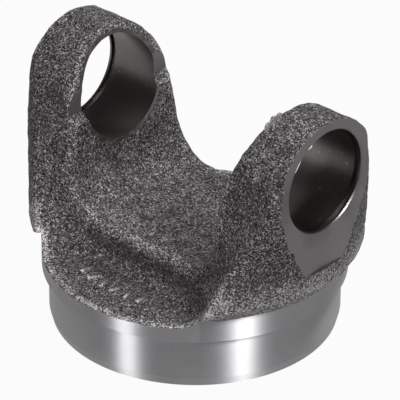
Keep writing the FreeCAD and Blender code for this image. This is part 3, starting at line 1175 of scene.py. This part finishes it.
@dataclass(frozen=True)
class Yoke:
    """The one forged and machined piece."""

    form: ForgingForm
    lumps: ForgingLumps
    strokes: ShelfStrokes
    fin: FlashFin
    machining: Machining
    net_step: float = 0.72
    corner_reach: float = 12.0
    crest_reach: float = 3.0
    proud_share: float = 0.3
    crisp_angle: float = 32.0

    def build(self) -> Piece:
        """Forge, cut and dress the yoke.

        Returns:
            The finished yoke.
        """
        finishes = [FINISHES[surface].build() for surface in Surface]
        places, faces = SurfaceNet(self.net_step).mesh(self.form.distance)
        LOG.info("forging: %d vertices, %d faces", len(places), len(faces))
        yoke = mesh_object("yoke", places, faces)
        self.lumps.raise_on(yoke, finishes[Surface.FORGED])
        strokes = self.strokes.build(finishes[Surface.FORGED])
        LOG.info("strokes: %d faces", len(strokes.data.polygons))
        self.combine(yoke, strokes, "UNION")
        self.combine(yoke, self.fin.build(), "UNION")
        for cut in self.machining.passes():
            self.combine(yoke, cut, "DIFFERENCE")
        self.dress(yoke, finishes)
        LOG.info("yoke: %d faces", len(yoke.data.polygons))
        return yoke

    @staticmethod
    def combine(yoke: Piece, other: Piece, operation: str) -> None:
        """Add a form to the yoke or take a cut off it, and put the other form away.

        Args:
            yoke: The yoke so far.
            other: The closed form that is added or cut.
            operation: UNION or DIFFERENCE.
        """
        step = yoke.modifiers.new(other.name, "BOOLEAN")
        step.operation = operation
        step.solver = "MANIFOLD"
        step.object = other
        keep_result(yoke)
        spent = other.data
        bpy.data.objects.remove(other)
        bpy.data.meshes.remove(spent)

    def dress(self, yoke: Piece, finishes: Sequence[bpy.types.Material]) -> None:
        """Give each surface its finish and keep the machined edges crisp.

        Args:
            yoke: The yoke after its last cut.
            finishes: One finish for each surface, in order.
        """
        mesh = yoke.data
        mesh.materials.clear()
        for finish in finishes:
            mesh.materials.append(finish)
        centres = read_vectors(mesh.polygons, "center") / MILLIMETRE
        kinds = self.machining.classify(centres, read_vectors(mesh.polygons, "normal"))
        mesh.polygons.foreach_set("material_index", kinds.astype(np.int32))
        self.mark_relief(mesh)
        mesh.shade_smooth()
        mesh.set_sharp_from_angle(angle=math.radians(self.crisp_angle))
        mesh.update()

    def mark_relief(self, mesh: bpy.types.Mesh) -> None:
        """Note on each vertex how deep in a corner or how far out on a crest it is, which the skin's
        finish turns into painted shade and a partly painted highlight.

        Args:
            mesh: The yoke's mesh.
        """
        places = read_vectors(mesh.vertices, "co") / MILLIMETRE
        normals = read_vectors(mesh.vertices, "normal")
        depth = self.form.shelter(places, normals, self.corner_reach)
        rise = self.form.shelter(places, normals, -self.crest_reach)
        proud = self.form.distance(*places.T) - self.lumps.reach()
        proud = proud / (self.proud_share * self.strokes.thickness)
        on_shelf = places[:, 2] < self.form.flank_foot
        # raised strokes on the shelf join the crests, for the same paler tops and painted highlight
        rise = np.where(on_shelf, np.maximum(rise, np.clip(proud, 0.0, 1.0)), rise)
        for name, values in (("corner", depth), ("crest", rise)):
            mesh.attributes.new(name, "FLOAT", "POINT").data.foreach_set("value", values)


@dataclass(frozen=True)
class Lamp:
    """A soft box that stands round the yoke and faces it."""

    name: str
    azimuth: float
    elevation: float
    distance: float
    width: float
    height: float
    watts: float

    def build(self) -> None:
        """Set up the lamp."""
        light = bpy.data.lights.new(self.name, "AREA")
        light.shape = "RECTANGLE"
        light.size = self.width
        light.size_y = self.height
        light.energy = self.watts
        lamp = add_object(self.name, light)
        turn = math.radians(self.azimuth)
        rise = math.radians(self.elevation)
        away = Vector((math.cos(turn) * math.cos(rise), math.sin(turn) * math.cos(rise), math.sin(rise)))
        target = Vector((0.0, 0.0, LAMP_AIM))
        lamp.location = target + away * self.distance
        lamp.rotation_euler = (-away).to_track_quat("-Z", "Y").to_euler()


LAMPS = (
    Lamp("left_strip", azimuth=-96.0, elevation=6.5, distance=1.2, width=0.27, height=0.25, watts=8.2),
    Lamp("right_strip", azimuth=-9.0, elevation=38.0, distance=1.2, width=0.25, height=0.5, watts=20.5),
    Lamp("back_box", azimuth=95.0, elevation=50.0, distance=1.2, width=0.5, height=0.5, watts=11.0),
    Lamp("top_box", azimuth=20.0, elevation=84.0, distance=1.2, width=0.5, height=0.5, watts=12.5),
)


@dataclass(frozen=True)
class Studio:
    """A pale floor, soft light and the camera."""

    camera_place: Triple = (0.57044, -0.62039, 0.53913)
    camera_turn: Triple = (59.1494, -0.3262, 42.7049)
    lens: float = 308.8
    sensor: float = 36.0
    view_end: float = 20.0
    floor_half: float = 3.0
    floor_gap: float = 0.05
    fill: float = 0.08
    paper: Colour = (0.10, 0.10, 0.10, 1.0)
    white: Colour = (1.0, 1.0, 1.0, 1.0)
    seen_share: float = 0.96

    def floor(self) -> Piece:
        """Lay the floor, which shows near white to the camera and keeps the yoke's shadow.

        Returns:
            The floor, which can't be seen from below.
        """
        edge = self.floor_half / MILLIMETRE
        sides = ((-edge, -edge), (edge, -edge), (edge, edge), (-edge, edge))
        places = np.array([(x, y, -self.floor_gap) for x, y in sides])
        floor = mesh_object("floor", places, [(0, 1, 2, 3)])
        tree = ShaderTree("pale_floor")
        paper = tree.node("ShaderNodeBsdfDiffuse", {}, Color=self.paper)["BSDF"]
        glow = tree.node("ShaderNodeEmission", {}, Color=self.white, Strength=1.0)["Emission"]
        path = tree.node("ShaderNodeLightPath", {})
        seen = path["Is Camera Ray"] + path["Is Glossy Ray"] + path["Is Transmission Ray"]
        above = tree.blend(seen.clamp() * self.seen_share, paper, glow)
        below = tree.node("ShaderNodeBsdfTransparent", {})["BSDF"]
        underside = tree.node("ShaderNodeNewGeometry", {})["Backfacing"]
        floor.data.materials.append(tree.close(tree.blend(underside, above, below)))
        return floor

    def world(self) -> None:
        """Even, weak fill light from all round."""
        world = bpy.data.worlds.new("studio")
        bpy.context.scene.world = world
        world.use_nodes = True
        fill = world.node_tree.nodes["Background"]
        fill.inputs["Color"].default_value = self.white
        fill.inputs["Strength"].default_value = self.fill

    def camera(self) -> None:
        """Set up the camera at the photograph's angle."""
        data = bpy.data.cameras.new("camera")
        data.lens = self.lens
        data.sensor_width = self.sensor
        data.sensor_fit = "HORIZONTAL"
        data.clip_end = self.view_end
        camera = add_object("camera", data)
        camera.location = self.camera_place
        camera.rotation_euler = Euler([math.radians(turn) for turn in self.camera_turn])
        bpy.context.scene.camera = camera

    def build(self) -> Piece:
        """Set up the whole studio.

        Returns:
            The floor.
        """
        self.world()
        self.camera()
        for lamp in LAMPS:
            lamp.build()
        bpy.context.scene.view_settings.view_transform = "Standard"
        return self.floor()


def corners(box: Sequence[Sequence[float]]) -> list[list[float]]:
    """A box as plain lists of numbers."""
    return [[float(value) for value in corner] for corner in box]


def main() -> None:
    """Build the yoke and the studio, and say what stands for what."""
    logging.basicConfig(level=logging.INFO, format="%(name)s: %(message)s")
    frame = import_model()
    LOG.info("nodes: %s", sorted(frame["nodes"]))
    yoke = Yoke(ForgingForm(), ForgingLumps(), ShelfStrokes(), FlashFin(), Machining()).build()
    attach(yoke, BODY)
    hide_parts(NODE)
    floor = Studio().build()


if __name__ == "__main__":
    main()
